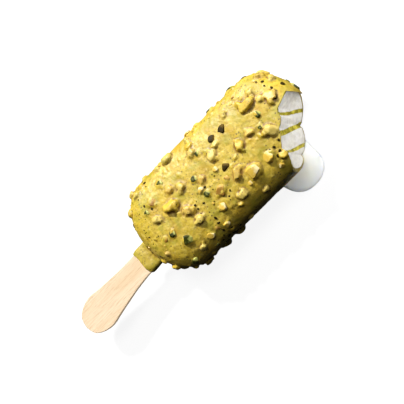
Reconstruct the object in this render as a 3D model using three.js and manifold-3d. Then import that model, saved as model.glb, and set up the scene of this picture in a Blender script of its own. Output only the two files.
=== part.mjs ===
// An ice cream bar on a flat wooden stick, in millimetres, lying on its flat underside.
// The bar's length runs along X, the stick points to -X and the bitten corner is at +X, -Y.
// The origin is on the surface the bar lies on, under the middle of the bar before it was bitten.

import * as THREE from 'three';
import { mergeVertices } from 'three/addons/utils/BufferGeometryUtils.js';
import Module from 'manifold-3d';

// Driving dimensions of the bar
const BAR_LENGTH = 97;
const BAR_WIDTH = 46;
const BAR_THICKNESS = 25;
const END_LENGTH = 16.5;        // the elliptical end, measured along the bar
const PILLOW = 2.8;             // exponent of the rounded section: 2 is an ellipse, more is squarer
const FLAT = 0.35;              // how much of the underside is pressed flat
const COAT = 1.7;
const CLEARANCE = 0.3;          // between pieces that touch in the real bar
const LAYER_CLEARANCE = 0.2;    // between the ice cream and a pistachio layer

// Pistachio layers, upright sheets along the bar: place across it at the top and the bottom
const LAYERS = [
  { top: -1.7, bottom: -2.9, thickness: 1.2 },
  { top: -9.1, bottom: -6.9, thickness: 2 },
  { top: -16.4, bottom: -14.7, thickness: 1.4 },
];
const LAYER_WAVE = 0.5;
const LAYER_WAVE_LENGTH = 38;

// The bite takes one corner of the tip. It is described along its own trace, which crosses the
// bar at 45 degrees: "along" runs with the trace and "out" points away from what is left.
const BITE_ANGLE = -Math.PI / 4;
const BITE_TOP = [              // along, out
  [40, 30.5], [34, 29.9], [30.5, 28.8], [27.5, 27.5], [25, 27.6], [23.6, 28.9], [20.5, 28.9],
  [18.7, 28.3], [16.5, 29.1], [10.4, 29.4], [9.2, 32], [5.5, 33.1], [1.5, 33.3], [-6, 33.5],
];
const BITE_LOBES = [            // tooth marks at the underside: from, to, out at both, bulge
  { from: -6, to: 8.3, outFrom: 32, outTo: 32.1, bulge: 2.4 },
  { from: 8.3, to: 21, outFrom: 32.1, outTo: 30.4, bulge: 2.2 },
  { from: 21, to: 40, outFrom: 30.4, outTo: 30.4, bulge: 1.8 },
];
const BITE_HOLLOW = 0.5;        // how far the face dips at half height
const BITE_FROM = -10;          // where along its trace the bite starts and ends
const BITE_TO = 34.6;

// The stick: half widths at distances from its free end
const STICK_LENGTH = 94;
const STICK_THICKNESS = 2;
const STICK_BEVEL = 0.25;
const STICK_END_X = -98;        // where its free end is
const STICK_ENTRY = { x: -48.5, y: -2.8 };
const STICK_SKEW = THREE.MathUtils.degToRad(3.8);
const STICK_HALF_WIDTHS = [
  [0.9, 4.1], [2.8, 6.2], [5.2, 7.5], [8.2, 8.4], [11.5, 8.7], [15, 8.15], [19, 7.55], [23.5, 7],
  [30, 6.2], [36, 5.8], [42, 5.65], [60, 5.65], [86, 5.65], [90.5, 4.7], [93, 2.6],
];

// The coating runs down the stick as a thin sleeve with an uneven edge
const SLEEVE_LENGTH = 8;
const SLEEVE_HALF_WIDTH = 6.35;
const SLEEVE_HALF_HEIGHT = 2.35;
const SLEEVE_FLARE = 1.3;
const SLEEVE_ROOT = 6;          // how far it reaches into the bar's end
const SLEEVE_EDGE_WAVE = 0.9;

// A pool of melted ice cream below the bite
const POOL = { x: 24.5, y: -17.8, radius: 12.4, height: 2.6 };
// Towards the tip it reaches less far: by what share, in which direction and how widely, in radians
const POOL_DENT = { share: 0.25, heading: 0.1, width: 0.6 };

// Pieces of nut in the coating. Those that stand out in the shown face are placed by hand from
// its middle: x, y, length, width, heading in degrees.
const FACE_NUTS = [
  [30, 10, 8.2, 5, -8], [-25, 3, 6.4, 6, 30], [13, -12, 6.8, 5.6, -2], [40, 6, 6.3, 4, -55],
  [4, 5.6, 5.4, 3.6, 30], [-3, -8, 5.8, 4.4, 35], [-13, 20, 6, 5.4, 0], [22, -12, 5.3, 4.4, 30],
  [-30, 10, 5.6, 3.6, -35], [-29, -13, 5, 4.2, -40], [-19, -10.5, 4.6, 3.6, 10], [-9.8, -2, 3.2, 2.8, 50],
  [30.5, -5, 6.4, 4.4, -65], [-20, -4, 4.8, 3.6, -40], [7, -8, 5.4, 3.8, 35], [-2.3, 13.3, 3.6, 3, 0],
  [15, 11, 4, 2.9, 30], [9, 11, 4, 3, -30], [31, 4, 3.4, 3, 20], [5, -2.5, 3.6, 3.2, 45],
  [27, -16, 3.6, 3.2, 0], [-22.3, 14, 3.4, 3, 0], [19.5, 15, 3.2, 2.8, 30], [16, 0, 4.4, 3.8, 0],
  [-20.4, 8.5, 3.4, 3, 0], [-15.8, 5.4, 4.4, 3.6, 45], [-33.4, 2.8, 4.2, 3, -30], [-32.4, -6.4, 3.4, 3.2, 0],
  [-8.6, -4.8, 3.4, 2.9, 0], [-7.6, -13.5, 3.9, 3.6, 0], [-20.3, -18.3, 3.6, 3.3, 0], [2.7, -15.7, 4.2, 3.4, 10],
  [34.6, 13.2, 3.4, 2.8, -10], [35.8, 8.2, 3, 2.5, 0], [22.5, 1.1, 3.8, 3, 40], [2, -6, 3, 2.6, 0],
  [-8.8, 4, 3.2, 2.8, 0], [-6, 1.4, 3.2, 2.8, 20], [-0.4, 11, 2.8, 2.4, 0], [1.2, 0.2, 2.6, 2.2, 0],
  [8.2, 8.2, 3, 2.4, 30], [28.2, -0.6, 2.7, 2.3, 0], [-1.6, 16.4, 3, 2.4, 0], [11.1, -20.4, 2.8, 2.4, 0],
  [-11.9, -19.6, 3.2, 2.8, 0], [-36.6, -6, 3, 2.4, 60], [-35.6, 8.6, 2.8, 2.4, 0], [8.5, -14.6, 2.3, 2, 0],
];
// Those that show in its outline: x, y, height from the bar's middle, length, width, heading
const SIDE_NUTS = [
  [41.6, 18.4, -0.3, 5.4, 3.6, 0], [34.8, 21.6, 1.5, 2.4, 2, 0], [27.3, 22.5, 4, 4.2, 3.4, 0],
  [15, 22.2, 5.3, 3.6, 3, 0], [6, 22.7, 3.8, 2.6, 2.2, 0], [-28, 22.2, 3.8, 2.6, 2.2, 0],
  [-37.2, 20.8, 5.4, 3.8, 3.2, 0], [-45.7, 10.3, 6.2, 2.6, 2.2, 0], [48.3, 2, -1, 3.6, 2.4, 90],
  [46.4, 7, 7, 2.3, 2, 0], [-12, -22.7, -3.2, 4.8, 4.2, 0], [-22, -22.7, -3.6, 4.8, 4.2, 0],
  [-33, -22.6, -2.4, 4.6, 4, 0], [-3.5, -22.8, 1.8, 3, 2.6, 0], [-38, -21.5, 0.6, 2.8, 2.4, 0],
];
// The rest follow by rule, largest first
const PLAIN_EDGE = { fromX: -9, belowY: -19 }; // no nuts by rule on this stretch
const NUT_COUNT = 54;
const NUT_LARGEST = 4.6;
const NUT_SMALLEST = 2.2;
const NUT_SPACING = 1.25;       // least distance between two pieces, over the mean of their lengths
const FACE_SPACING = 2.3;       // the same on the shown face, above this share of the half thickness
const FACE_HEIGHT = 0.8;
const NUT_HEIGHT = 0.62;        // over its width
const NUT_PROUD = 0.46;         // the share of the height that stands out of the coating
const NUT_UNEVEN = 0.24;
const NUT_SEED = 4211;
const NUT_TRIES = 9000;

// Faces along, across and up the bar's box
const SKIN_DETAIL = [24, 14, 8];
const CORE_DETAIL = [14, 9, 6];

// Worked out from the above
const CENTRE_Z = BAR_THICKNESS / 2 - FLAT;
const SPINE = BAR_LENGTH / 2 - END_LENGTH;
const COLOURS = { coat: 0xd2b45a, iceCream: 0xe3dfd2, layer: 0xa89a35, stick: 0xf0d9b0, melt: 0xe6e3d8 };

const wasm = await Module();
wasm.setup();

function toSolid(geometry) {
  const bare = geometry.clone();
  for (const name of Object.keys(bare.attributes)) {
    if (name !== 'position') bare.deleteAttribute(name);
  }
  const merged = mergeVertices(bare.index ? bare.toNonIndexed() : bare, 1e-4);
  const mesh = new wasm.Mesh({
    numProp: 3,
    vertProperties: new Float32Array(merged.attributes.position.array),
    triVerts: new Uint32Array(merged.index.array),
  });
  return new wasm.Manifold(mesh);
}

function toGeometry(solid) {
  const mesh = solid.getMesh();
  const geometry = new THREE.BufferGeometry();
  geometry.setAttribute('position', new THREE.BufferAttribute(new Float32Array(mesh.vertProperties), 3));
  geometry.setIndex(new THREE.BufferAttribute(new Uint32Array(mesh.triVerts), 1));
  geometry.computeVertexNormals();
  return geometry;
}

function largestPiece(solid) {
  const pieces = solid.decompose();
  return pieces.reduce((a, b) => (b.volume() > a.volume() ? b : a));
}

function moveVertices(geometry, place) {
  const position = geometry.attributes.position;
  const point = new THREE.Vector3();
  for (let i = 0; i < position.count; i += 1) {
    point.fromBufferAttribute(position, i);
    place(point);
    position.setXYZ(i, point.x, point.y, point.z);
  }
  return geometry;
}

// The scale that brings a point, seen from the bar's spine, onto its rounded surface
function pillowScale(point, grow) {
  const past = Math.max(Math.abs(point.x) - SPINE, 0) / (END_LENGTH + grow);
  const across = point.y / (BAR_WIDTH / 2 + grow);
  const up = Math.abs(point.z) / (BAR_THICKNESS / 2 + grow);
  return (Math.hypot(past, across) ** PILLOW + up ** PILLOW) ** (-1 / PILLOW);
}

// Moves a point of the bar's box out from the spine onto the surface
function ontoPillow(point, grow) {
  const spineX = THREE.MathUtils.clamp(point.x, -SPINE, SPINE);
  const scale = pillowScale(point, grow);
  point.set(spineX + (point.x - spineX) * scale, point.y * scale, point.z * scale);
}

// The bar before it was bitten, its skin moved out by grow
function pillow(grow, [countX, countY, countZ]) {
  const box = new THREE.BoxGeometry(BAR_LENGTH, BAR_WIDTH, BAR_THICKNESS, countX, countY, countZ);
  moveVertices(box, (point) => {
    ontoPillow(point, grow);
    point.z += CENTRE_Z;
  });
  return box;
}

function pillowNormal(point) {
  const step = 0.01;
  const value = (x, y, z) => 1 / pillowScale(new THREE.Vector3(x, y, z), 0);
  const { x, y, z } = point;
  return new THREE.Vector3(
    value(x + step, y, z) - value(x - step, y, z),
    value(x, y + step, z) - value(x, y - step, z),
    value(x, y, z + step) - value(x, y, z - step),
  ).normalize();
}

function between(points, at) {
  for (let i = 1; i < points.length; i += 1) {
    const [[a0, b0], [a1, b1]] = [points[i - 1], points[i]];
    if ((at - a0) * (at - a1) <= 0) return b0 + ((b1 - b0) * (at - a0)) / (a1 - a0);
  }
  return at > points[0][0] ? points[0][1] : points[points.length - 1][1];
}

function biteUnderside(along) {
  const lobe = BITE_LOBES.find((mark) => along >= mark.from && along <= mark.to) ?? BITE_LOBES[0];
  const share = THREE.MathUtils.clamp((along - lobe.from) / (lobe.to - lobe.from), 0, 1);
  const arch = Math.sqrt(Math.max(1 - (2 * share - 1) ** 2, 0));
  return lobe.outFrom + (lobe.outTo - lobe.outFrom) * share + lobe.bulge * arch;
}

// How far out the bitten face stands at a place along the trace and a height over the surface
function biteFace(along, height) {
  const share = THREE.MathUtils.clamp((height - 1.5) / (BAR_THICKNESS - 3), 0, 1);
  const eased = share * share * (3 - 2 * share);
  const flat = THREE.MathUtils.lerp(biteUnderside(along), between(BITE_TOP, along), eased);
  return flat - BITE_HOLLOW * Math.sin(Math.PI * share);
}

function bite(shift) {
  const [width, depth, height] = [BITE_TO - BITE_FROM, 30, 36];
  const box = new THREE.BoxGeometry(depth, width, height, 1, 32, 7);
  moveVertices(box, (point) => {
    const along = point.y + (BITE_TO + BITE_FROM) / 2;
    const z = point.z + CENTRE_Z;
    const out = point.x < 0 ? biteFace(along, z) + shift : 60;
    point.set(out, along, z);
  });
  return toSolid(box.rotateZ(BITE_ANGLE));
}

function underFloor() {
  return toSolid(new THREE.BoxGeometry(300, 200, 20).translate(0, 0, -10));
}

// Stick outline, from its free end along +X; grow widens it all round
function stickGeometry(grow) {
  const side = STICK_HALF_WIDTHS.map(([at, half]) => new THREE.Vector2(at, half + grow));
  const outline = new THREE.SplineCurve([
    new THREE.Vector2(-grow, 0), ...side,
    new THREE.Vector2(STICK_LENGTH + grow, 0),
  ]).getSpacedPoints(40).slice(1, -1);
  const mirrored = outline.map((p) => new THREE.Vector2(p.x, -p.y)).reverse();
  const shape = new THREE.Shape([
    new THREE.Vector2(-grow, 0), ...mirrored.slice().reverse(),
    new THREE.Vector2(STICK_LENGTH + grow, 0), ...outline.slice().reverse(),
  ]);
  const thickness = STICK_THICKNESS + 2 * grow;
  const bevel = grow > 0 ? 0 : STICK_BEVEL;
  const geometry = new THREE.ExtrudeGeometry(shape, {
    depth: thickness - 2 * bevel,
    bevelEnabled: bevel > 0,
    bevelThickness: bevel,
    bevelSize: bevel,
    bevelOffset: -bevel,
    bevelSegments: 1,
    steps: 1,
  });
  return geometry.translate(0, 0, bevel - thickness / 2);
}

// Lays something modelled along the stick's own axis, measured from the stick's free end
function alongStick(geometry) {
  const rise = Math.sin(STICK_SKEW) * (STICK_ENTRY.x - STICK_END_X);
  return geometry.rotateZ(STICK_SKEW).translate(STICK_END_X, STICK_ENTRY.y - rise, CENTRE_Z);
}

// The sleeve's own section is a rounded rectangle that flares where it joins the bar
function sleeve() {
  const start = (STICK_ENTRY.x - STICK_END_X) / Math.cos(STICK_SKEW) - SLEEVE_LENGTH;
  const length = SLEEVE_LENGTH + SLEEVE_ROOT;
  const box = new THREE.BoxGeometry(length, 2, 2, 8, 10, 4);
  moveVertices(box, (point) => {
    const share = point.x / length + 0.5;
    const ring = Math.max(Math.abs(point.y), Math.abs(point.z));
    const corner = (Math.abs(point.y) ** 4 + Math.abs(point.z) ** 4) ** 0.25;
    const scale = corner > 0 ? ring / corner : 0;
    const swell = 0.35 * Math.sin(Math.PI * Math.min(share * 2.4, 1)) + SLEEVE_FLARE * share ** 3;
    const y = point.y * scale * (SLEEVE_HALF_WIDTH + 0.5 * swell);
    const z = point.z * scale * (SLEEVE_HALF_HEIGHT + swell);
    const wave = SLEEVE_EDGE_WAVE * (Math.sin(point.y * 3.1) - 0.7 * point.y) * (1 - share);
    point.set(start + share * length + wave, y, z);
  });
  return toSolid(alongStick(box));
}

function makeRandom(seed) {
  let state = seed;
  return () => {
    state = (state * 16807) % 2147483647;
    return state / 2147483647;
  };
}

function isBitten(place, length) {
  const turned = place.clone().applyAxisAngle(new THREE.Vector3(0, 0, 1), -BITE_ANGLE);
  return turned.x > biteFace(turned.y, place.z + CENTRE_Z) + 0.3 * length;
}

// Keeps the nuts off the floor, the bitten corner, the sleeve and the pool
function isFree(place, length) {
  const height = place.z + CENTRE_Z;
  const overPool = Math.hypot(place.x - POOL.x, place.y - POOL.y) < POOL.radius + length;
  const bySleeve = place.x < -42 && Math.abs(place.y - STICK_ENTRY.y) < 9 && Math.abs(place.z) < 5;
  const onPlainEdge = place.x > PLAIN_EDGE.fromX && place.y < PLAIN_EDGE.belowY;
  if (overPool && height < 9) return false;
  return height > length * 0.7 + 0.6 && !onPlainEdge && !bySleeve && !isBitten(place, length);
}

function placeNuts() {
  const random = makeRandom(NUT_SEED);
  const nuts = FACE_NUTS.map(([x, y, length, width, heading]) => {
    const rim = Math.hypot(Math.max(Math.abs(x) - SPINE, 0) / END_LENGTH, y / (BAR_WIDTH / 2));
    const z = (BAR_THICKNESS / 2) * (1 - rim ** PILLOW) ** (1 / PILLOW);
    return { place: new THREE.Vector3(x, y, z), length, width, heading: THREE.MathUtils.degToRad(heading) };
  });
  for (const [x, y, z, length, width, heading] of SIDE_NUTS) {
    const place = new THREE.Vector3(x, y, z);
    ontoPillow(place, 0);
    nuts.push({ place, length, width, heading: THREE.MathUtils.degToRad(heading) });
  }
  const placed = nuts.length;
  const wanted = placed + NUT_COUNT;
  for (let i = 0; i < NUT_TRIES && nuts.length < wanted; i += 1) {
    const share = (nuts.length - placed) / NUT_COUNT;
    const length = NUT_SMALLEST + (NUT_LARGEST - NUT_SMALLEST) * (1 - share) ** 1.6;
    const place = new THREE.Vector3(
      (random() - 0.5) * BAR_LENGTH,
      (random() - 0.5) * BAR_WIDTH,
      (random() - 0.5) * BAR_THICKNESS,
    );
    const width = length * (0.65 + 0.3 * random());
    const heading = Math.PI * random();
    ontoPillow(place, 0);
    const spacing = place.z > (FACE_HEIGHT * BAR_THICKNESS) / 2 ? FACE_SPACING : NUT_SPACING;
    const clear = nuts.every((nut) => nut.place.distanceTo(place) > (spacing * (nut.length + length)) / 2);
    if (clear && isFree(place, length)) nuts.push({ place, length, width, heading });
  }
  return nuts;
}

// One broken nut: an uneven faceted lump, sunk into the coating along the surface's normal
function nutSolid({ place, length, width, heading }, random) {
  const lump = mergeVertices(new THREE.IcosahedronGeometry(1, 0).deleteAttribute('normal').deleteAttribute('uv'));
  moveVertices(lump, (point) => point.multiplyScalar(1 + NUT_UNEVEN * (random() - 0.5) * 2));
  const height = width * NUT_HEIGHT;
  lump.scale(length / 2, width / 2, height / 2);
  lump.rotateZ(heading);
  const normal = pillowNormal(place);
  const turn = new THREE.Quaternion().setFromUnitVectors(new THREE.Vector3(0, 0, 1), normal);
  const centre = place.clone().addScaledVector(normal, height * (NUT_PROUD - 0.5));
  centre.z += CENTRE_Z;
  lump.applyQuaternion(turn).translate(centre.x, centre.y, centre.z);
  return toSolid(lump);
}

function coatingSolid() {
  const random = makeRandom(NUT_SEED + 1);
  const nuts = placeNuts().map((nut) => nutSolid(nut, random));
  const outer = wasm.Manifold.union([toSolid(pillow(0, SKIN_DETAIL)), sleeve(), ...nuts]);
  const inner = toSolid(pillow(-COAT, CORE_DETAIL));
  const slot = toSolid(alongStick(stickGeometry(CLEARANCE / 2)));
  return largestPiece(outer.subtract(inner).subtract(slot).subtract(bite(0)).subtract(underFloor()));
}

// Place across the bar of a layer's middle at a point along it and a height
function layerMiddle(layer, x, z) {
  const wave = LAYER_WAVE * Math.sin((2 * Math.PI * x) / LAYER_WAVE_LENGTH + 1.7 * layer.top);
  return layer.bottom + ((layer.top - layer.bottom) * z) / BAR_THICKNESS + wave;
}

// A full-height slab along the bar between two upright surfaces, given by functions of x and z
function slab(lower, upper) {
  const box = new THREE.BoxGeometry(104, 2, 40, 10, 1, 2);
  moveVertices(box, (point) => {
    const z = point.z + CENTRE_Z;
    point.set(point.x, point.y < 0 ? lower(point.x, z) : upper(point.x, z), z);
  });
  return toSolid(box);
}

function coreSolids() {
  const core = toSolid(pillow(-COAT - CLEARANCE, CORE_DETAIL))
    .subtract(bite(0))
    .subtract(toSolid(alongStick(stickGeometry(CLEARANCE))));
  const edge = (layer, side, gap) => (x, z) => layerMiddle(layer, x, z) + side * (layer.thickness / 2 + gap);
  const solids = {};
  LAYERS.forEach((layer, i) => {
    const sheet = slab(edge(layer, -1, 0), edge(layer, 1, 0));
    solids[`pistachio_layer_${i + 1}`] = largestPiece(core.intersect(sheet));
  });
  for (let i = 0; i <= LAYERS.length; i += 1) {
    const upper = i === 0 ? () => 40 : edge(LAYERS[i - 1], -1, LAYER_CLEARANCE);
    const lower = i === LAYERS.length ? () => -40 : edge(LAYERS[i], 1, LAYER_CLEARANCE);
    solids[`ice_cream_band_${i + 1}`] = largestPiece(core.intersect(slab(lower, upper)));
  }
  return solids;
}

function poolSolid() {
  const profile = [new THREE.Vector2(0, 0), new THREE.Vector2(POOL.radius - 0.3, 0)];
  for (let i = 0; i <= 6; i += 1) {
    const angle = (i / 6) * (Math.PI / 2);
    profile.push(new THREE.Vector2(POOL.radius * Math.cos(angle) ** 0.6, 0.35 + (POOL.height - 0.35) * Math.sin(angle)));
  }
  profile[profile.length - 1].x = 0;
  const dome = new THREE.LatheGeometry(profile, 32).rotateX(Math.PI / 2);
  moveVertices(dome, (point) => {
    const angle = Math.atan2(point.y, point.x);
    const dent = POOL_DENT.share * Math.exp(-(((angle - POOL_DENT.heading) / POOL_DENT.width) ** 2));
    const uneven = 1.016 + 0.02 * Math.sin(3 * angle + 0.6) + 0.012 * Math.sin(5 * angle) - dent;
    point.set(point.x * uneven + POOL.x, point.y * uneven + POOL.y, point.z);
  });
  const bar = toSolid(pillow(CLEARANCE, SKIN_DETAIL)).subtract(bite(CLEARANCE));
  return largestPiece(toSolid(dome).subtract(bar).subtract(underFloor()));
}

function node(name, geometry, colour, roughness) {
  const mesh = new THREE.Mesh(geometry, new THREE.MeshStandardMaterial({ color: colour, roughness, metalness: 0 }));
  mesh.name = name;
  return mesh;
}

const bar = new THREE.Group();
bar.add(node('stick', alongStick(stickGeometry(0)), COLOURS.stick, 0.75));
bar.add(node('coating', toGeometry(coatingSolid()), COLOURS.coat, 0.35));
for (const [name, solid] of Object.entries(coreSolids())) {
  const isLayer = name.startsWith('pistachio');
  bar.add(node(name, toGeometry(solid), isLayer ? COLOURS.layer : COLOURS.iceCream, 0.6));
}
bar.add(node('melted_pool', toGeometry(poolSolid()), COLOURS.melt, 0.2));

export default bar;
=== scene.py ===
"""A bitten ice cream bar on its stick, dressed over the CAD frame. Shapes are made in millimetres
and brought to the frame's metres when they are finished."""

import math

import bpy
from mathutils import Matrix, Vector
from mathutils.kdtree import KDTree


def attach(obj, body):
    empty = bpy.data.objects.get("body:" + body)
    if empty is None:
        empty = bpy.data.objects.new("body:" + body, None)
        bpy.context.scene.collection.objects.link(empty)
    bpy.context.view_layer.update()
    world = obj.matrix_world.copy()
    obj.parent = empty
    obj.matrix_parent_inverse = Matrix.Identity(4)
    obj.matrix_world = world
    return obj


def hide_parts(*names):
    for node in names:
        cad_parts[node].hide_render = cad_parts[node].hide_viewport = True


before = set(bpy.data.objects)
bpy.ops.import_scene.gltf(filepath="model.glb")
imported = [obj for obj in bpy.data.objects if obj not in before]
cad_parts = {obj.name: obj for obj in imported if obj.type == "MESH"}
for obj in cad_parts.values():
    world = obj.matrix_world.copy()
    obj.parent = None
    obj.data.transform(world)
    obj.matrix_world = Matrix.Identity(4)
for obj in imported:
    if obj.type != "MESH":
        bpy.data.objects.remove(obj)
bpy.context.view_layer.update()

MM = 0.001

# The bar's form is that of its solids, but the coating is thinner and the core a little squarer.
# PILLOW and CORE_PILLOW are the powers that round the two.
BAR_LENGTH = 97
BAR_WIDTH = 46
BAR_THICKNESS = 25
END_LENGTH = 16.5
PILLOW = 2.8
CORE_PILLOW = 3.1
FORM_CUTS = 44
FLAT = 0.35
COAT = 1.1
COAT_GAP = 0.09
COAT_VOXEL = 0.44
CENTRE_Z = BAR_THICKNESS / 2 - FLAT
SPINE = BAR_LENGTH / 2 - END_LENGTH

# Unevenness of a surface: the size of its waves and their height
COAT_GRAIN = [(4.5, 0.5), (1.4, 0.12)]
BITE_GRAIN = [(2.6, 0.5), (0.8, 0.14)]
LAYER_GRAIN = [(2.2, 0.3)]

LAYERS = [
    {"top": -1.7, "bottom": -2.9, "thickness": 1.2},
    {"top": -9.1, "bottom": -6.9, "thickness": 2},
    {"top": -16.4, "bottom": -14.7, "thickness": 1.4},
]
LAYER_WAVE = 0.5
LAYER_WAVE_LENGTH = 38
LAYER_SHEET = (104, 30)
LAYER_REACH = 60

BITE_ANGLE = -math.pi / 4
BITE_TOP = [
    (40, 30.5), (34, 29.9), (30.5, 28.8), (27.5, 27.5), (25, 27.6), (23.6, 28.9), (20.5, 28.9),
    (18.7, 28.3), (16.5, 29.1), (10.4, 29.4), (9.2, 32), (5.5, 33.1), (1.5, 33.3), (-6, 33.5),
]
BITE_LOBES = [
    {"from": -6, "to": 8.3, "out_from": 32, "out_to": 32.1, "bulge": 2.4},
    {"from": 8.3, "to": 21, "out_from": 32.1, "out_to": 30.4, "bulge": 2.2},
    {"from": 21, "to": 40, "out_from": 30.4, "out_to": 30.4, "bulge": 1.8},
]
BITE_HOLLOW = 0.5
BITE_LIP = 1.5
BITE_FROM = -10
BITE_TO = 34.6
BITE_HEIGHT = 36
BITE_REACH = 40
# The rim of the coating, this far from the bitten face, gets none of the painted crease shade
RIM_DEPTH = 0.9

STICK_ENTRY = Vector((-48.5, -2.8, CENTRE_Z))
STICK_SKEW = math.radians(3.8)
STICK_THICKNESS = 2
SLOT_LENGTH = 60
SLOT_HALF_WIDTH = 5.85
SLOT_GAP = 0.16
SLEEVE_LENGTH = 8
SLEEVE_HALF_WIDTH = 6.35
SLEEVE_HALF_HEIGHT = 2.35
SLEEVE_SWELL = 0.35
SLEEVE_FLARE = 1.3
SLEEVE_ROOT = 6
SLEEVE_EDGE_WAVE = 0.45
# The coating darkens towards the stick from the second of these places along the bar to the first
SLEEVE_DARK_FROM = -50
SLEEVE_DARK_TO = -47.5

POOL = {"x": 24.5, "y": -17.8, "radius": 12.4, "height": 2.6, "edge": 0.35, "undercut": 0.3}
POOL_STEPS = 16
# Towards the tip it reaches less far: by what share, in which direction and how widely, in radians
POOL_DENT = {"share": 0.25, "heading": 0.1, "width": 0.6}

# Nuts that stand out in the shown face: x, y, length, width, heading in degrees, kind
FACE_NUTS = [
    (29.6, 10.4, 8.6, 4.1, 0, "gold"), (-25, 3, 6.4, 6, 30, "gold"), (13, -12, 6.8, 5.6, -2, "kernel"),
    (40, 6, 6.3, 4, -55, "tan"), (4, 5.6, 5.4, 3.6, 30, "pale"), (-3, -8, 5.8, 4.4, 35, "skin"),
    (-13, 20, 6, 5.4, 0, "pale"), (22, -12, 5.3, 4.4, 30, "kernel"), (-30, 10, 5.6, 3.6, -35, "skin"),
    (-29, -13, 5, 4.2, -40, "green"), (-19, -10.5, 4.6, 3.6, 10, "pale"),
    (-9.8, -2, 3.2, 2.8, 50, "kernel"), (30.5, -5, 6.4, 4.4, -65, "pale"), (-20, -4, 4.8, 3.6, -40, "tan"),
    (7, -8, 5.4, 3.8, 35, "tan"), (-2.3, 13.3, 3.6, 3, 0, "pale"), (15, 11, 4.4, 3.3, 30, "dark"),
    (9, 11, 4.2, 3.4, -30, "dark"), (31, 4, 3.4, 3, 20, "green"), (5, -2.5, 4, 3.5, 45, "dark"),
    (27, -16, 3.6, 3.2, 0, "gold"), (-22.3, 14, 3.4, 3, 0, "green"), (19.5, 15, 3.2, 2.8, 30, "pale"),
    (16, 0, 4.4, 3.8, 0, "gold"), (-20.4, 8.5, 3.4, 3, 0, "tan"), (-15.8, 5.4, 4.4, 3.6, 45, "pale"),
    (-33.4, 2.8, 4.2, 3, -30, "pale"), (-32.4, -6.4, 3.4, 3.2, 0, "green"),
    (-8.6, -4.8, 3.4, 2.9, 0, "green"), (-7.6, -13.5, 3.9, 3.6, 0, "kernel"),
    (-20.3, -18.3, 3.6, 3.3, 0, "kernel"), (2.7, -15.7, 4.2, 3.4, 10, "pale"),
    (34.6, 13.2, 3.4, 2.8, -10, "pale"), (35.8, 8.2, 3, 2.5, 0, "pale"),
    (22.5, 1.1, 3.8, 3, 40, "tan"), (2, -6, 3, 2.6, 0, "skin"), (-8.8, 4, 3.2, 2.8, 0, "green"),
    (-6, 1.4, 3.2, 2.8, 20, "tan"), (-0.4, 11, 2.8, 2.4, 0, "green"), (1.2, 0.2, 2.6, 2.2, 0, "kernel"),
    (8.2, 8.2, 3, 2.4, 30, "pale"), (28.2, -0.6, 2.7, 2.3, 0, "green"), (-1.6, 16.4, 3, 2.4, 0, "gold"),
    (11.1, -20.4, 2.8, 2.4, 0, "pale"), (-11.9, -19.6, 3.2, 2.8, 0, "kernel"),
    (-36.6, -6, 3, 2.4, 60, "skin"), (-35.6, 8.6, 2.8, 2.4, 0, "green"), (8.5, -14.6, 2.3, 2, 0, "kernel"),
]
# Those that show in its outline: x, y, height from the middle, length, width, heading, kind
SIDE_NUTS = [
    (41.6, 18.4, -0.3, 5.4, 3.6, 0, "pale"), (34.8, 21.6, 1.5, 3.4, 2.8, 0, "dark"),
    (27.3, 22.5, 3.4, 5, 4.2, 0, "green"), (15, 22.2, 4.4, 4.4, 3.8, 0, "green"),
    (6, 22.7, 3.8, 2.6, 2.2, 0, "gold"), (-28, 22.2, 3.8, 2.6, 2.2, 0, "gold"),
    (-37.2, 20.8, 5.4, 3.8, 3.2, 0, "pale"), (-45.7, 10.3, 6.2, 2.6, 2.2, 0, "dark"),
    (48.4, 4.4, -1.5, 4.8, 3.4, 90, "green"), (46.4, 7, 7, 2.3, 2, 0, "dark"),
    (-12, -22.7, -3.2, 4.8, 4.2, 0, "gold"), (-22, -22.7, -3.6, 4.8, 4.2, 0, "gold"),
    (-33, -22.6, -2.4, 4.6, 4, 0, "gold"), (-3.5, -22.8, 1.8, 3, 2.6, 0, "pale"),
    (-38, -21.5, 0.6, 2.8, 2.4, 0, "gold"),
]
# The rest follow by rule, with this share of each kind
NUT_SHARES = {"gold": 0.22, "pale": 0.24, "tan": 0.12, "kernel": 0.14, "green": 0.18, "skin": 0.1}
NUT_COUNT = 54
NUT_LARGEST = 4.6
NUT_SMALLEST = 2.2
NUT_SPACING = 1.25
FACE_SPACING = 2.3
FACE_HEIGHT = 0.8
NUT_HEIGHT = 0.62
NUT_SEED = 4211
NUT_TRIES = 9000
# The rule keeps off these: a plain stretch of the lower edge, the sleeve, the pool and the floor
PLAIN_EDGE = {"from_x": -9, "below_y": -19}
SLEEVE_ZONE = {"before_x": -42, "half_width": 9, "half_height": 5}
POOL_ZONE_HEIGHT = 9
FLOOR_ZONE = {"share_of_length": 0.7, "more": 0.6}

# Kinds that the coating covers, and the tone each gives it
COVERED_TONES = {"gold": 0.0, "pale": 0.5, "tan": 1.0}
COVERED_PROUD = 0.55
COVERED_TALLER = 1.35
# Kinds that show bare: what share of the height stands out of the coating, and how tall they are
BARE_KINDS = {"kernel": (0.52, 1.1), "green": (0.42, 1.0), "skin": (0.34, 0.9), "dark": (0.38, 0.8)}
# The coating's collar round a bare nut, the chips beside a covered one, and its crumbs
COLLAR = {"wider": 1.2, "proud": 0.24}
CHIPS = {"seed": 515, "smallest": 1.2, "proud": 0.6, "taller": 1.5}
COAT_CRUMBS = {"seed": 77, "count": 240, "smallest": 1.0, "largest": 2.4}
DARK_SPECKS = {"seed": 1213, "count": 360, "smallest": 0.5, "largest": 1.7, "clusters": 32}
PALE_CRUMBS = {"seed": 2029, "count": 70, "smallest": 0.7, "largest": 1.7}
CLUSTER_SPREAD = 7

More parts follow.
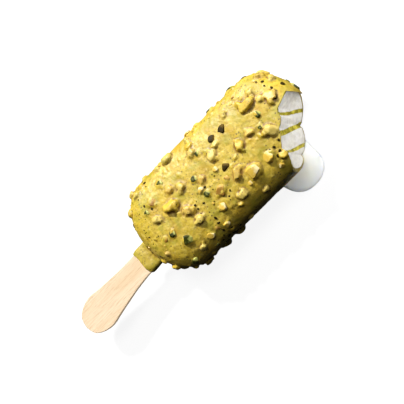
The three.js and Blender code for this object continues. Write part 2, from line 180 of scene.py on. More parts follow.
# Camera: the photograph is square, and the bar's middle is at this place in it
PHOTO_SIDE = 404
BAR_MIDDLE_IN_PHOTO = (223.4, 171.9)
MM_PER_PIXEL = 0.438
CAMERA_DISTANCE = 450
CAMERA_TILT = math.radians(20)
CAMERA_ROLL = math.radians(1.5)
SENSOR = 36

FLOOR_SIDE = 8
BACKDROP_RADIUS = 3.8
BACKDROP_HEIGHT = 6


# Selecting, editing and applying

def deselect():
    bpy.ops.object.select_all(action="DESELECT")


def activate(piece):
    deselect()
    piece.select_set(True)
    bpy.context.view_layer.objects.active = piece


def edit(piece):
    activate(piece)
    bpy.ops.object.mode_set(mode="EDIT")
    bpy.ops.mesh.select_all(action="SELECT")


def done():
    bpy.ops.object.mode_set(mode="OBJECT")


def named(name):
    piece = bpy.context.object
    piece.name = name
    piece.data.name = name
    return piece


def settle(piece):
    """Applies a piece's place, turn and size to its mesh."""
    activate(piece)
    bpy.ops.object.transform_apply(location=True, rotation=True, scale=True)


def modify(piece, kind, **settings):
    """Adds one modifier and applies it."""
    activate(piece)
    modifier = piece.modifiers.new(kind.lower(), kind)
    for setting, value in settings.items():
        setattr(modifier, setting, value)
    bpy.ops.object.modifier_apply(modifier=modifier.name)


def cut(piece, tool):
    modify(piece, "BOOLEAN", object=tool, operation="DIFFERENCE", solver="MANIFOLD")


def remove(piece):
    bpy.data.objects.remove(piece, do_unlink=True)


def copy_of(piece, name):
    twin = piece.copy()
    twin.data = piece.data.copy()
    twin.name = twin.data.name = name
    bpy.context.collection.objects.link(twin)
    return twin


def join(pieces, name):
    deselect()
    for piece in pieces:
        piece.select_set(True)
    bpy.context.view_layer.objects.active = pieces[0]
    bpy.ops.object.join()
    return named(name)


def shape_vertices(piece, place):
    for vertex in piece.data.vertices:
        vertex.co = place(vertex.co.copy())
    piece.data.update()


def roughen(piece, grain):
    """Displaces a mesh by clouds of each size and height in turn."""
    for scale, strength in grain:
        texture = bpy.data.textures.new(f"{piece.name}_clouds", "CLOUDS")
        texture.noise_scale = scale
        modify(piece, "DISPLACE", texture=texture, strength=strength, mid_level=0.5, texture_coords="LOCAL")


def dress(piece, finish):
    piece.data.materials.clear()
    piece.data.materials.append(finish)


def to_frame(piece, angle=math.radians(40)):
    """Brings a finished piece from millimetres to the frame's metres."""
    piece.scale = (MM, MM, MM)
    settle(piece)
    bpy.ops.object.shade_smooth_by_angle(angle=angle)
    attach(piece, "root")


# The bar's form, the bite and the layers

def pillow_scale(point, grow, power=PILLOW):
    past = max(abs(point.x) - SPINE, 0) / (END_LENGTH + grow)
    across = point.y / (BAR_WIDTH / 2 + grow)
    up = abs(point.z) / (BAR_THICKNESS / 2 + grow)
    return (math.hypot(past, across) ** power + up ** power) ** (-1 / power)


def onto_pillow(point, grow, power=PILLOW):
    spine_x = min(max(point.x, -SPINE), SPINE)
    scale = pillow_scale(point, grow, power)
    return Vector((spine_x + (point.x - spine_x) * scale, point.y * scale, point.z * scale))


def pillow(name, grow, power=PILLOW):
    bpy.ops.mesh.primitive_cube_add(size=1)
    piece = named(name)
    piece.scale = (BAR_LENGTH, BAR_WIDTH, BAR_THICKNESS)
    settle(piece)
    edit(piece)
    bpy.ops.mesh.subdivide(number_cuts=FORM_CUTS)
    done()
    shape_vertices(piece, lambda point: onto_pillow(point, grow, power) + Vector((0, 0, CENTRE_Z)))
    return piece


def pillow_normal(point):
    step = 0.01

    def value(offset):
        return 1 / pillow_scale(point + offset, 0)

    axes = [Vector((step, 0, 0)), Vector((0, step, 0)), Vector((0, 0, step))]
    return Vector([value(axis) - value(-axis) for axis in axes]).normalized()


def between(points, at):
    for (a0, b0), (a1, b1) in zip(points, points[1:]):
        if (at - a0) * (at - a1) <= 0:
            return b0 + (b1 - b0) * (at - a0) / (a1 - a0)
    return points[0][1] if at > points[0][0] else points[-1][1]


def bite_underside(along):
    lobe = next((mark for mark in BITE_LOBES if mark["from"] <= along <= mark["to"]), BITE_LOBES[0])
    share = min(max((along - lobe["from"]) / (lobe["to"] - lobe["from"]), 0), 1)
    arch = math.sqrt(max(1 - (2 * share - 1) ** 2, 0))
    return lobe["out_from"] + (lobe["out_to"] - lobe["out_from"]) * share + lobe["bulge"] * arch


def bite_face(along, height):
    share = min(max((height - BITE_LIP) / (BAR_THICKNESS - 2 * BITE_LIP), 0), 1)
    eased = share * share * (3 - 2 * share)
    flat = bite_underside(along) * (1 - eased) + between(BITE_TOP, along) * eased
    return flat - BITE_HOLLOW * math.sin(math.pi * share)


def pull_out(sheet, shift):
    """Closes a sheet into a solid by pulling it out."""
    edit(sheet)
    bpy.ops.mesh.extrude_region_move(TRANSFORM_OT_translate={"value": shift})
    bpy.ops.mesh.select_all(action="SELECT")
    bpy.ops.mesh.normals_make_consistent(inside=False)
    done()


def bite_tool(name, grain=()):
    """What the bite took: a finely divided sheet shaped as the bitten face and pulled outwards."""
    bpy.ops.mesh.primitive_grid_add(x_subdivisions=120, y_subdivisions=84, size=1)
    piece = named(name)
    piece.scale = (BITE_TO - BITE_FROM, BITE_HEIGHT, 1)
    piece.location.x = (BITE_TO + BITE_FROM) / 2
    settle(piece)
    shape_vertices(piece, lambda p: Vector((bite_face(p.x, p.y + CENTRE_Z), p.x, p.y + CENTRE_Z)))
    edit(piece)
    bpy.ops.mesh.normals_make_consistent(inside=False)
    done()
    roughen(piece, grain)
    pull_out(piece, (BITE_REACH, 0, 0))
    piece.rotation_euler = (0, 0, BITE_ANGLE)
    settle(piece)
    return piece


def block(name, low, high):
    bpy.ops.mesh.primitive_cube_add(size=1, location=(low + high) / 2)
    piece = named(name)
    piece.scale = high - low
    settle(piece)
    return piece


def layer_edge(layer, face):
    """Where a face of a layer lies across the bar, as a function of x and height."""
    def place(x, z):
        wave = LAYER_WAVE * math.sin(2 * math.pi * x / LAYER_WAVE_LENGTH + 1.7 * layer["top"])
        middle = layer["bottom"] + (layer["top"] - layer["bottom"]) * z / BAR_THICKNESS + wave
        return middle + face * layer["thickness"] / 2

    return place


def cut_beside(piece, layer, face, way):
    """Cuts away all that lies on one side of a layer's face. Face 1 is the one at higher Y, face -1
    the other, and way says whether the side towards higher or lower Y goes."""
    place = layer_edge(layer, face)
    bpy.ops.mesh.primitive_grid_add(x_subdivisions=150, y_subdivisions=44, size=1)
    sheet = named("sheet")
    sheet.scale = (*LAYER_SHEET, 1)
    settle(sheet)
    shape_vertices(sheet, lambda p: Vector((p.x, place(p.x, p.y + CENTRE_Z), p.y + CENTRE_Z)))
    roughen(sheet, LAYER_GRAIN)
    pull_out(sheet, (0, way * LAYER_REACH, 0))
    cut(piece, sheet)
    remove(sheet)


# The nuts' places, by the same rule as the solids

def make_random(seed):
    state = seed

    def draw():
        nonlocal state
        state = (state * 16807) % 2147483647
        return state / 2147483647

    return draw


def random_spot(draw):
    """Anywhere in the bar's box, from its middle."""
    return Vector([(draw() - 0.5) * side for side in (BAR_LENGTH, BAR_WIDTH, BAR_THICKNESS)])


def past_bite(place):
    """How far a place, measured from the bar's middle, lies past the bitten face."""
    turned = Matrix.Rotation(-BITE_ANGLE, 3, "Z") @ place
    return turned.x - bite_face(turned.y, place.z + CENTRE_Z)


def is_bitten(place, length):
    return past_bite(place) > 0.3 * length


def is_free(place, length):
    height = place.z + CENTRE_Z
    near_pool = math.hypot(place.x - POOL["x"], place.y - POOL["y"]) < POOL["radius"] + length
    from_stick = abs(place.y - STICK_ENTRY.y)
    level = from_stick < SLEEVE_ZONE["half_width"] and abs(place.z) < SLEEVE_ZONE["half_height"]
    by_sleeve = level and place.x < SLEEVE_ZONE["before_x"]
    on_plain_edge = place.x > PLAIN_EDGE["from_x"] and place.y < PLAIN_EDGE["below_y"]
    on_floor = height <= length * FLOOR_ZONE["share_of_length"] + FLOOR_ZONE["more"]
    if on_floor or on_plain_edge or by_sleeve or (near_pool and height < POOL_ZONE_HEIGHT):
        return False
    return not is_bitten(place, length)


def pick_kind(draw):
    """One of the kinds of nut, by its share."""
    rest = draw()
    for kind, share in NUT_SHARES.items():
        rest -= share
        if rest <= 0:
            return kind
    return "gold"


def place_nuts():
    draw = make_random(NUT_SEED)
    draw_kind = make_random(NUT_SEED + 2)
    nuts = []

    def add(place, length, width, heading, kind):
        nuts.append({"place": place, "length": length, "width": width, "heading": heading, "kind": kind})

    for x, y, length, width, heading, kind in FACE_NUTS:
        rim = math.hypot(max(abs(x) - SPINE, 0) / END_LENGTH, y / (BAR_WIDTH / 2))
        z = BAR_THICKNESS / 2 * (1 - rim ** PILLOW) ** (1 / PILLOW)
        add(Vector((x, y, z)), length, width, math.radians(heading), kind)
    for x, y, z, length, width, heading, kind in SIDE_NUTS:
        add(onto_pillow(Vector((x, y, z)), 0), length, width, math.radians(heading), kind)
    placed = len(nuts)
    for _ in range(NUT_TRIES):
        if len(nuts) >= placed + NUT_COUNT:
            break
        share = (len(nuts) - placed) / NUT_COUNT
        length = NUT_SMALLEST + (NUT_LARGEST - NUT_SMALLEST) * (1 - share) ** 1.6
        spot = random_spot(draw)
        width = length * (0.65 + 0.3 * draw())
        heading = math.pi * draw()
        place = onto_pillow(spot, 0)
        gap = (FACE_SPACING if place.z > FACE_HEIGHT * BAR_THICKNESS / 2 else NUT_SPACING) / 2
        clear = all((nut["place"] - place).length > gap * (nut["length"] + length) for nut in nuts)
        if clear and is_free(place, length):
            add(place, length, width, heading, pick_kind(draw_kind))
    return nuts


def place_crumbs(seed, count, smallest, largest, clusters=0):
    """Small bits, scattered evenly or in clusters, wherever nothing keeps them off."""
    draw = make_random(seed)
    middles = [onto_pillow(random_spot(draw), 0) for _ in range(clusters)]
    crumbs = []
    for turn in range(count):
        if clusters:
            shift = Vector([draw() + draw() - 1 for _ in range(3)]) * CLUSTER_SPREAD
            place = onto_pillow(middles[turn % clusters] + shift, 0)
        else:
            place = onto_pillow(random_spot(draw), 0)
        length = smallest + (largest - smallest) * draw() ** 2
        width = length * (0.6 + 0.35 * draw())
        heading = math.pi * draw()
        if is_free(place, length):
            crumbs.append({"place": place, "length": length, "width": width, "heading": heading})
    return crumbs


def chips_beside(nuts, seed):
    """Two smaller chips against each large nut, which break up its rounded outline."""
    draw = make_random(seed)
    chips = []
    for nut in nuts:
        for _ in range(2):
            turn, share = 2 * math.pi * draw(), 0.4 + 0.25 * draw()
            shift = Vector((math.cos(turn), math.sin(turn), 0)) * nut["length"] * (0.3 + 0.2 * draw())
            chips.append({"place": onto_pillow(nut["place"] + shift, 0), "length": nut["length"] * share,
                          "width": nut["width"] * share, "heading": math.pi * draw()})
    return chips


def nut_matrix(nut, proud, taller=1.0):
    """Takes a template of unit size to a nut's place, sunk along the surface's normal."""
    normal = pillow_normal(nut["place"])
    height = nut["width"] * NUT_HEIGHT * taller
    centre = nut["place"] + normal * height * (proud - 0.5) + Vector((0, 0, CENTRE_Z))
    turn = Vector((0, 0, 1)).rotation_difference(normal).to_matrix().to_4x4()
    size = Matrix.Diagonal((nut["length"], nut["width"], height, 1))
    return Matrix.Translation(centre) @ turn @ Matrix.Rotation(nut["heading"], 4, "Z") @ size


def shard(name, seed, cuts, depth, bevel, fineness=3):
    """A broken nut of unit size: a rounded body with flat breaks."""
    draw = make_random(seed)
    bpy.ops.mesh.primitive_ico_sphere_add(subdivisions=fineness, radius=0.5)
    piece = named(name)
    edit(piece)
    for _ in range(cuts):
        turn, tilt = 2 * math.pi * draw(), math.pi * (draw() - 0.3)
        normal = Vector((math.cos(turn) * math.cos(tilt), math.sin(turn) * math.cos(tilt), math.sin(tilt)))
        spot = normal * 0.5 * (depth + (1 - depth) * draw())
        bpy.ops.mesh.select_all(action="SELECT")
        bpy.ops.mesh.bisect(plane_co=spot, plane_no=normal, use_fill=True, clear_outer=True)
    done()
    if bevel:
        modify(piece, "BEVEL", width=bevel, segments=2, limit_method="ANGLE", angle_limit=math.radians(32))
    low = Vector([min(v.co[i] for v in piece.data.vertices) for i in range(3)])
    high = Vector([max(v.co[i] for v in piece.data.vertices) for i in range(3)])
    shape_vertices(piece, lambda p: Vector([(p[i] - low[i]) / (high[i] - low[i]) - 0.5 for i in range(3)]))
    return piece


def scatter(name, templates, matrices):
    """One piece of copies of the templates, each at its own place."""
    copies = []
    for i, matrix in enumerate(matrices):
        twin = copy_of(templates[i % len(templates)], f"{name}_{i}")
        twin.data.transform(matrix)
        copies.append(twin)
    return join(copies, name)


# Materials

class Value:
    """A socket of a material. Arithmetic on it adds Math nodes."""

    def __init__(self, finish, socket):
        self.finish = finish
        self.socket = socket

    def maths(self, operation, first, second):
        return self.finish.node("ShaderNodeMath", {"operation": operation}, {0: first, 1: second})

    def __add__(self, other):
        return self.maths("ADD", self, other)

    def __radd__(self, other):
        return self.maths("ADD", other, self)

    def __mul__(self, other):
        return self.maths("MULTIPLY", self, other)

    def __rmul__(self, other):
        return self.maths("MULTIPLY", other, self)

    def __gt__(self, other):
        return self.maths("GREATER_THAN", self, other)

    def __lt__(self, other):
        return self.maths("LESS_THAN", self, other)


class Finish:
    """A node material built from Python expressions."""

    def __init__(self, name, roughness, specular=0.5, subsurface=0.0, depth=0.0, coat=0.0):
        self.material = bpy.data.materials.new(name)
        self.material.use_nodes = True
        self.tree = self.material.node_tree
        self.shader = self.tree.nodes["Principled BSDF"]
        inputs = self.shader.inputs
        inputs["Roughness"].default_value = roughness
        inputs["Specular IOR Level"].default_value = specular
        inputs["Subsurface Weight"].default_value = subsurface
        inputs["Subsurface Scale"].default_value = depth
        inputs["Subsurface Radius"].default_value = (1.0, 0.8, 0.5)
        inputs["Coat Weight"].default_value = coat
        inputs["Coat Roughness"].default_value = 0.25

    def node(self, kind, settings=None, sockets=None, output=0):
        node = self.tree.nodes.new(kind)
        for setting, value in (settings or {}).items():
            setattr(node, setting, value)
        for socket, value in (sockets or {}).items():
            if isinstance(value, Value):
                self.tree.links.new(value.socket, node.inputs[socket])
            else:
                node.inputs[socket].default_value = value
        return Value(self, node.outputs[output])

    def place(self, scale=(1, 1, 1), turn=(0, 0, 0)):
        where = self.node("ShaderNodeTexCoord", output="Object")
        return self.node("ShaderNodeMapping", {}, {"Vector": where, "Scale": scale, "Rotation": turn})

    def attribute(self, name):
        return self.node("ShaderNodeAttribute", {"attribute_name": name}, output="Fac")

    def noise(self, per_metre, detail=2.0, place=None, rough=0.5):
        where = place or self.place()
        return self.node("ShaderNodeTexNoise", {}, {"Vector": where, "Scale": per_metre, "Detail": detail,
                                                    "Roughness": rough})

    def spots(self, per_metre, radius, rare=0.5):
        """1 inside round spots, 0 outside; rare leaves that share of the cells bare."""
        cells = {"Vector": self.place(), "Scale": per_metre}
        near = self.node("ShaderNodeTexVoronoi", {}, cells, "Distance")
        shade = self.node("ShaderNodeTexVoronoi", {}, cells, "Color")
        pick = self.node("ShaderNodeSeparateColor", {}, {"Color": shade}, 0)
        return self.ramp(near, radius * 0.75, radius, 1, 0) * (pick > rare)

    def ramp(self, value, start, end, low=0.0, high=1.0):
        return self.node("ShaderNodeMapRange", {}, {"Value": value, "From Min": start, "From Max": end,
                                                    "To Min": low, "To Max": high})

    def mix(self, factor, first, second):
        sockets = {"Factor": factor}
        for socket, colour in ((6, first), (7, second)):
            sockets[socket] = colour if isinstance(colour, Value) else (*colour, 1)
        return self.node("ShaderNodeMix", {"data_type": "RGBA"}, sockets, 2)

    def feed(self, **sockets):
        for socket, value in sockets.items():
            self.tree.links.new(value.socket, self.shader.inputs[socket.replace("_", " ").title()])

    def bump(self, *heights):
        """Bumps, each a height value, its distance in millimetres and a strength."""
        normal = None
        for height, distance, strength in heights:
            sockets = {"Height": height, "Distance": distance * MM, "Strength": strength}
            if normal:
                sockets["Normal"] = normal
            normal = self.node("ShaderNodeBump", {}, sockets)
        self.feed(normal=normal)


def coating_finish():
    """Pale yellow coating, mottled and speckled, tinted over the nuts, with painted brown shade at their
    feet.
    """
    finish = Finish("coating_finish", 0.42, specular=0.65)
    crease, cover, tone = (finish.attribute(name) for name in ("crease", "cover", "tone"))
    broad = finish.ramp(finish.noise(95, 3), 0.35, 0.68)
    fine = finish.ramp(finish.noise(900, 3), 0.35, 0.7)
    colour = finish.mix(broad, (0.54, 0.375, 0.018), (0.68, 0.485, 0.036))
    colour = finish.mix(fine * 0.5, colour, (0.74, 0.55, 0.1))
    grit = finish.ramp(finish.noise(620, 4, finish.place(turn=(0.2, 1.1, 0.4)), 0.62), 0.5, 0.68)
    colour = finish.mix(grit * 0.75, colour, (0.32, 0.19, 0.006))
    pale = finish.ramp(finish.noise(480, 3, finish.place(turn=(0.9, 0.5, 1.7)), 0.6), 0.55, 0.7)
    colour = finish.mix(pale * 0.5, colour, (0.82, 0.66, 0.16))
    green = finish.ramp(finish.noise(150, 3), 0.5, 0.66)
    colour = finish.mix(green * 0.7, colour, (0.38, 0.33, 0.018))
    amber = finish.ramp(finish.noise(120, 2, finish.place(turn=(0.6, 0.4, 1.1))), 0.54, 0.7)
    colour = finish.mix(amber * 0.55, colour, (0.57, 0.32, 0.01))
    gold_to_pale = finish.mix(finish.ramp(tone, 0, 0.5), (0.72, 0.47, 0.03), (0.78, 0.6, 0.16))
    covered = finish.mix(finish.ramp(tone, 0.5, 1), gold_to_pale, (0.7, 0.44, 0.1))
    colour = finish.mix(cover * 0.6, colour, covered)
    along = finish.node("ShaderNodeSeparateXYZ", {}, {0: finish.place()})
    on_sleeve = finish.ramp(along, SLEEVE_DARK_FROM * MM, SLEEVE_DARK_TO * MM, 1, 0)
    colour = finish.mix(on_sleeve * 0.4, colour, (0.34, 0.26, 0.016))
    # Painted shade: the coating darkens to brown where it lies in a crease, as at the nuts' feet.
    painted_crease_shade = finish.ramp(crease, 0.015, 0.15)
    colour = finish.mix(painted_crease_shade * 0.9, colour, (0.2, 0.09, 0.004))
    clusters = finish.ramp(finish.noise(110, 1, finish.place(turn=(1.2, 0.3, 0.5))), 0.42, 0.58)
    brown = finish.spots(600, 0.26)
    colour = finish.mix(brown * clusters * 0.8, colour, (0.12, 0.07, 0.01))
    dots = finish.spots(1150, 0.26)
    colour = finish.mix(dots * (0.25 + clusters * 0.6), colour, (0.1, 0.085, 0.015))
    finish.feed(base_color=colour, roughness=finish.ramp(finish.noise(420, 2), 0.3, 0.7, 0.42, 0.58))
    finish.bump((finish.noise(650, 3), 0.3, 0.7), (finish.noise(2300, 2), 0.1, 0.7))
    return finish.material


def nut_finish(name, most, end, roughness, share=0.5, specular=0.4):
    """A broken nut: one colour for most of it, another towards one of its ends."""
    finish = Finish(name, roughness, specular)
    split = finish.attribute("end") + finish.noise(330, 3) * 0.9
    colour = finish.mix(finish.ramp(split, share, share + 0.22), most, end)
    colour = finish.mix(finish.ramp(finish.noise(1100, 2), 0.55, 0.75) * 0.4, colour, end)
    finish.feed(base_color=colour)
    finish.bump((finish.noise(1300, 3), 0.2, 0.6))
    return finish.material


def ice_cream_finish():
    """Frozen white with a fine crystalline grain."""
    finish = Finish("ice_cream_finish", 0.55, specular=0.3, subsurface=0.2, depth=0.001)
    grain = finish.ramp(finish.noise(520, 4, rough=0.65), 0.36, 0.66)
    cool = finish.ramp(finish.noise(210, 2), 0.4, 0.68)
    colour = finish.mix(grain, (0.66, 0.625, 0.545), (0.84, 0.81, 0.73))
    colour = finish.mix(cool * 0.4, colour, (0.76, 0.74, 0.75))
    finish.feed(base_color=colour)
    finish.bump((finish.noise(700, 4, rough=0.65), 0.35, 0.7), (finish.noise(2600, 2), 0.1, 0.6))
    return finish.material


def pistachio_finish():
    finish = Finish("pistachio_finish", 0.5, specular=0.35)
    blotch = finish.ramp(finish.noise(340, 3), 0.4, 0.64)
    colour = finish.mix(blotch, (0.24, 0.2, 0.012), (0.66, 0.56, 0.06))
    colour = finish.mix(finish.spots(900, 0.3) * 0.6, colour, (0.12, 0.12, 0.02))
    finish.feed(base_color=colour)
    finish.bump((finish.noise(800, 3), 0.35, 0.8))
    return finish.material


def melt_finish():
    finish = Finish("melt_finish", 0.3, specular=0.4, subsurface=0.6, depth=0.005, coat=0.2)
    shade = finish.ramp(finish.noise(160, 2), 0.35, 0.7)
    colour = finish.mix(shade, (0.84, 0.82, 0.75), (0.9, 0.885, 0.83))
    finish.feed(base_color=colour)
    finish.bump((finish.noise(260, 2), 0.3, 0.25))
    return finish.material


def birch_finish():
    """Pale birch: long fine grain, short pores and a few brown streaks along the stick."""
    finish = Finish("birch_finish", 0.62, specular=0.3)
    along = (0, 0, -STICK_SKEW)
    grain = finish.noise(1.0, 4, finish.place((110, 1500, 600), along), 0.6)
    broad = finish.noise(1.0, 2, finish.place((30, 260, 200), along))
    streak = finish.noise(1.0, 3, finish.place((150, 2600, 900), along), 0.6)
    colour = finish.mix(finish.ramp(broad, 0.35, 0.68), (0.82, 0.64, 0.44), (0.77, 0.57, 0.36))
    colour = finish.mix(finish.ramp(grain, 0.48, 0.7) * 0.7, colour, (0.6, 0.41, 0.22))
    colour = finish.mix(finish.ramp(streak, 0.6, 0.72) * 0.6, colour, (0.4, 0.25, 0.11))
    finish.feed(base_color=colour)
    finish.bump((grain, 0.12, 0.5), (streak, 0.1, 0.5))
    return finish.material


# Pieces

def sleeve_form():
    """The coating's sleeve on the stick, a rounded bar that flares where it meets the body."""
    bpy.ops.mesh.primitive_cube_add(size=2)
    piece = named("sleeve")
    edit(piece)
    bpy.ops.mesh.subdivide(number_cuts=31)
    done()

    def place(p):
        share = (p.x + 1) / 2
        ring = max(abs(p.y), abs(p.z))
        corner = (abs(p.y) ** 4 + abs(p.z) ** 4) ** 0.25
        scale = ring / corner if corner > 0 else 0
        swell = SLEEVE_SWELL * math.sin(math.pi * min(share * 2.4, 1)) + SLEEVE_FLARE * share ** 3
        wave = SLEEVE_EDGE_WAVE * (math.sin(p.y * 3.1) - 0.7 * p.y) * (1 - share)
        y = p.y * scale * (SLEEVE_HALF_WIDTH + 0.5 * swell)
        x = share * (SLEEVE_LENGTH + SLEEVE_ROOT) - SLEEVE_LENGTH + wave
        return Vector((x, y, p.z * scale * (SLEEVE_HALF_HEIGHT + swell)))

    shape_vertices(piece, place)
    piece.location = STICK_ENTRY
    piece.rotation_euler = (0, 0, STICK_SKEW)
    settle(piece)
    return piece


def stick_slot():
    bpy.ops.mesh.primitive_cube_add(size=1)
    piece = named("stick_slot")
    piece.scale = (SLOT_LENGTH, 2 * SLOT_HALF_WIDTH, STICK_THICKNESS + SLOT_GAP)
    piece.location = STICK_ENTRY
    piece.rotation_euler = (0, 0, STICK_SKEW)
    settle(piece)
    return piece


def paint(piece, name, values):
    """Stores one number for each point of a mesh, for its material to read."""
    layer = piece.data.attributes.new(name, "FLOAT", "POINT")
    layer.data.foreach_set("value", values)


def mark_creases(piece):
    """How far the surface lies under its own smoothed form, in millimetres: more at the nuts' feet, where
    the coating's material paints shade. The cut rim of the bite is left out."""
    smooth = copy_of(piece, "smoothed_form")
    modify(smooth, "SMOOTH", factor=0.9, iterations=12)
    middle = Vector((0, 0, CENTRE_Z))
    creases = []
    for before, after in zip(piece.data.vertices, smooth.data.vertices):
        on_rim = past_bite(before.co - middle) > -RIM_DEPTH
        creases.append(0 if on_rim else (after.co - before.co).dot(before.normal))
    paint(piece, "crease", creases)
    remove(smooth)


def mark_covered(piece, nuts):
    """Where the coating lies thin over a nut, and which tone that nut gives it."""
    points = piece.data.vertices
    tree = KDTree(len(points))
    for point in points:
        tree.insert(point.co, point.index)
    tree.balance()
    cover, tone = [0.0] * len(points), [0.5] * len(points)
    for nut in nuts:
        matrix = nut_matrix(nut, COVERED_PROUD, COVERED_TALLER)
        inverse = matrix.inverted()
        for place, index, _ in tree.find_range(matrix.translation, nut["length"]):
            near = min(max((0.86 - (inverse @ place).length) / 0.4, 0), 1)
            if near > cover[index]:
                cover[index] = near
                tone[index] = COVERED_TONES[nut["kind"]]
    paint(piece, "cover", cover)
    paint(piece, "tone", tone)


def lump_matrices(nuts):
    """Where the coating rises: over covered nuts and chips, round bare nuts and over crumbs."""
    covered = [nut for nut in nuts if nut["kind"] in COVERED_TONES]
    matrices = [nut_matrix(nut, COVERED_PROUD, COVERED_TALLER) for nut in covered]
    for nut in nuts:
        if nut["kind"] in BARE_KINDS and nut["kind"] != "dark":
            size = {"length": nut["length"] * COLLAR["wider"], "width": nut["width"] * COLLAR["wider"]}
            matrices.append(nut_matrix({**nut, **size}, COLLAR["proud"]))
    for chip in chips_beside(covered, CHIPS["seed"]):
        if chip["length"] > CHIPS["smallest"]:
            matrices.append(nut_matrix(chip, CHIPS["proud"], CHIPS["taller"]))
    return matrices + [nut_matrix(crumb, 0.45, 1.2) for crumb in place_crumbs(**COAT_CRUMBS)]


def make_coating(nuts, bite, inner):
    lumps = [shard(f"lump_{i}", 31 + 7 * i, 7, 0.4, 0) for i in range(9)]
    lumpy = scatter("covered_nuts", lumps, lump_matrices(nuts))
    coating = join([pillow("coat_form", 0), sleeve_form(), lumpy], "coating_skin")
    modify(coating, "REMESH", mode="VOXEL", voxel_size=COAT_VOXEL)
    modify(coating, "SMOOTH", factor=0.5, iterations=1)
    roughen(coating, COAT_GRAIN)
    slot = stick_slot()
    floor_cut = block("floor_cut", Vector((-80, -40, -10)), Vector((80, 40, 0)))
    for tool in (inner, slot, floor_cut, bite):
        cut(coating, tool)
    for spare in (slot, floor_cut, *lumps):
        remove(spare)
    mark_creases(coating)
    mark_covered(coating, [nut for nut in nuts if nut["kind"] in COVERED_TONES])
    dress(coating, coating_finish())
    to_frame(coating)
    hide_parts("coating")


def make_core(bite):
    """The four ice cream bands and the three layers, cut from one core."""
    core = pillow("core", -COAT - COAT_GAP, CORE_PILLOW)
    cut(core, bite)
    slot = stick_slot()
    cut(core, slot)
    remove(slot)
    white, olive = ice_cream_finish(), pistachio_finish()
    pieces = []
    for i, layer in enumerate(LAYERS):
        piece = copy_of(core, f"layer_piece_{i + 1}")
        cut_beside(piece, layer, 1, 1)
        cut_beside(piece, layer, -1, -1)
        pieces.append((piece, f"pistachio_layer_{i + 1}", olive))
    for i in range(len(LAYERS) + 1):
        piece = copy_of(core, f"band_piece_{i + 1}")
        if i > 0:
            cut_beside(piece, LAYERS[i - 1], -1, 1)
        if i < len(LAYERS):
            cut_beside(piece, LAYERS[i], 1, -1)
        pieces.append((piece, f"ice_cream_band_{i + 1}", white))
    remove(core)
    for piece, node, finish in pieces:
        dress(piece, finish)
        to_frame(piece)
        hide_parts(node)
        "pistachio" if finish == olive else "ice_cream"
    return [piece for piece, _, _ in pieces]


def make_pool():
    """A drop-edged pool: rings that rise from the floor and close over the top."""
    previous, height = POOL["radius"] - POOL["undercut"], 0.0
    bpy.ops.mesh.primitive_circle_add(vertices=96, radius=previous, fill_type="NGON")
    piece = named("pool_of_melt")
    edit(piece)
    for i in range(POOL_STEPS):
        angle = i / POOL_STEPS * math.pi / 2
        radius = POOL["radius"] * math.cos(angle) ** 0.6
        rise = POOL["edge"] + (POOL["height"] - POOL["edge"]) * math.sin(angle)
        bpy.ops.mesh.extrude_region_move(TRANSFORM_OT_translate={"value": (0, 0, rise - height)})
        size = radius / previous
        bpy.ops.transform.resize(value=(size, size, 1), center_override=(0, 0, 0))
        previous, height = radius, rise
    bpy.ops.mesh.select_all(action="SELECT")
    bpy.ops.mesh.normals_make_consistent(inside=False)
    done()

    def place(p):
        angle = math.atan2(p.y, p.x)
        aside = (angle - POOL_DENT["heading"]) / POOL_DENT["width"]
        dent = POOL_DENT["share"] * math.exp(-(aside ** 2))
        uneven = 1.016 + 0.02 * math.sin(3 * angle + 0.6) + 0.012 * math.sin(5 * angle) - dent
        return Vector((p.x * uneven + POOL["x"], p.y * uneven + POOL["y"], p.z))

    shape_vertices(piece, place)
    bar = pillow("bar_over_pool", 0.1)
    tool = bite_tool("bite_over_pool")
    cut(bar, tool)
    cut(piece, bar)
    remove(bar)
    remove(tool)
    dress(piece, melt_finish())
    to_frame(piece)
    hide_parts("melted_pool")
    return piece


def make_bare_nuts(nuts):
    """The nuts that show through the coating, one piece for each kind, and the finest specks."""
    templates = [shard(f"shard_{i}", 911 + 13 * i, 5, 0.45, 0.03) for i in range(6)]
    for template in templates:
        paint(template, "end", [vertex.co.x for vertex in template.data.vertices])
    grains = [shard(f"grain_{i}", 401 + 5 * i, 2, 0.5, 0, 1) for i in range(4)]
    finishes = {
        "kernel": nut_finish("kernel_finish", (0.72, 0.47, 0.06), (0.88, 0.72, 0.34), 0.34),
        # The green nuts' pale end is partly their own pale side and partly a painted highlight.
        "green": nut_finish("green_nut_finish", (0.034, 0.038, 0.003), (0.52, 0.52, 0.12), 0.36, 0.56,
                            0.25),
        "skin": nut_finish("nut_skin_finish", (0.3, 0.15, 0.02), (0.62, 0.38, 0.07), 0.45, 0.45, 0.25),
        "dark": nut_finish("dark_nut_finish", (0.034, 0.022, 0.003), (0.13, 0.08, 0.01), 0.5, 0.5, 0.1),
    }
    for kind, (proud, taller) in BARE_KINDS.items():
        matrices = [nut_matrix(nut, proud, taller) for nut in nuts if nut["kind"] == kind]
        bare_piece(f"nuts_{kind}", templates, matrices, finishes[kind])
    specks = [nut_matrix(crumb, 0.62, 0.8) for crumb in place_crumbs(**DARK_SPECKS)]
    bare_piece("specks_dark", grains, specks, finishes["dark"])
    bits = [nut_matrix(crumb, 0.6) for crumb in place_crumbs(**PALE_CRUMBS)]
    bare_piece("crumbs_pale", grains, bits, finishes["kernel"])
    for template in templates + grains:
        remove(template)


def bare_piece(name, templates, matrices, finish):
    piece = scatter(name, templates, matrices)
    dress(piece, finish)
    to_frame(piece, math.radians(30))


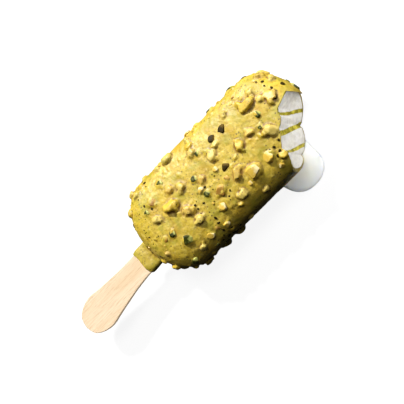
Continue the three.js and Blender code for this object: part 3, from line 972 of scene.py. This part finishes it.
def make_stage():
    """A pale floor and a pale backdrop all round it. Neither throws light on the bar."""
    finish = Finish("floor_paint", 0.9, specular=0.0)
    finish.shader.inputs["Base Color"].default_value = (0.2, 0.2, 0.2, 1)
    finish.shader.inputs["Emission Color"].default_value = (1, 1, 1, 1)
    finish.shader.inputs["Emission Strength"].default_value = 0.9
    bpy.ops.mesh.primitive_plane_add(size=FLOOR_SIDE)
    floor = named("floor")
    bpy.ops.mesh.primitive_cylinder_add(vertices=64, radius=BACKDROP_RADIUS, depth=BACKDROP_HEIGHT,
                                        end_fill_type="NOTHING")
    backdrop = named("backdrop")
    backdrop.visible_shadow = False
    for piece in (floor, backdrop):
        dress(piece, finish.material)
        piece.visible_diffuse = False
        piece.visible_glossy = False


def lamp(name, kind, place, aim, energy, size, lit=()):
    data = bpy.data.lights.new(name, kind)
    data.energy = energy
    if kind == "SUN":
        data.angle = size
    else:
        data.shape = "DISK"
        data.size = size
    lamp_object = bpy.data.objects.new(name, data)
    lamp_object.location = place
    lamp_object.rotation_euler = (aim - place).to_track_quat("-Z", "Y").to_euler()
    bpy.context.collection.objects.link(lamp_object)
    if lit:
        group = bpy.data.collections.new(f"lit_by_{name}")
        for piece in lit:
            group.objects.link(piece)
        lamp_object.light_linking.receiver_collection = group


def sun(name, direction, energy, degrees, lit=()):
    middle = Vector((0, 0, 12 * MM))
    lamp(name, "SUN", middle + Vector(direction), middle, energy, math.radians(degrees), lit)


def make_lights(white_pieces, stick):
    """A low key from across the bar, a faint top light, a card off the tip, a soft fill that lifts
    the bitten face and the pool out of the bar's own shadow, and a light on the stick's edge."""
    sun("key", (0.06, 0.8, 0.6), 5.1, 7)
    sun("top", (0.2, 0.32, 0.93), 1.0, 24)
    lamp("card", "AREA", Vector((150, 8, 45)) * MM, Vector((30, -12, 10)) * MM, 0.07, 60 * MM)
    sun("fill", (0.6, -0.5, 0.55), 2.3, 50, white_pieces)
    sun("edge", (0, -1, 0.1), 1.6, 30, [stick])
    world = bpy.data.worlds.new("studio")
    world.use_nodes = True
    background = world.node_tree.nodes["Background"]
    background.inputs["Color"].default_value = (0.95, 0.97, 1, 1)
    background.inputs["Strength"].default_value = 0.018
    bpy.context.scene.world = world


def make_camera():
    """Looks down on the bar, leaning over its bitten side, with the bar's length up to the right."""
    corner = math.sqrt(0.5)
    lean, turn = CAMERA_TILT, CAMERA_ROLL
    flat_right = Vector((corner * math.cos(lean), -corner * math.cos(lean), -math.sin(lean)))
    flat_up = Vector((corner, corner, 0))
    back = flat_right.cross(flat_up)
    right = flat_right * math.cos(turn) + flat_up * math.sin(turn)
    up = flat_up * math.cos(turn) - flat_right * math.sin(turn)
    eye = (Vector((0, 0, 12.5)) + back * CAMERA_DISTANCE) * MM
    focal = CAMERA_DISTANCE / MM_PER_PIXEL
    off = [PHOTO_SIDE / 2 - place for place in BAR_MIDDLE_IN_PHOTO]
    back = -(right * off[0] - up * off[1] - back * focal).normalized()
    right = (right - back * right.dot(back)).normalized()
    camera = bpy.data.objects.new("camera", bpy.data.cameras.new("camera"))
    turned = Matrix((right, back.cross(right), back)).transposed()
    camera.matrix_world = Matrix.Translation(eye) @ turned.to_4x4()
    camera.data.sensor_width = SENSOR
    camera.data.lens = focal / PHOTO_SIDE * SENSOR
    camera.data.clip_start = 0.01
    bpy.context.collection.objects.link(camera)
    bpy.context.scene.camera = camera


make_camera()
make_stage()

bite = bite_tool("bite", BITE_GRAIN)
inner = pillow("inner", -COAT, CORE_PILLOW)
nuts = place_nuts()
make_coating(nuts, bite, inner)
white_pieces = make_core(bite)
make_bare_nuts(nuts)
white_pieces.append(make_pool())
for spare in (bite, inner):
    remove(spare)

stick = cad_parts["stick"]
dress(stick, birch_finish())
make_lights(white_pieces, stick)

bpy.context.scene.view_settings.view_transform = "Standard"
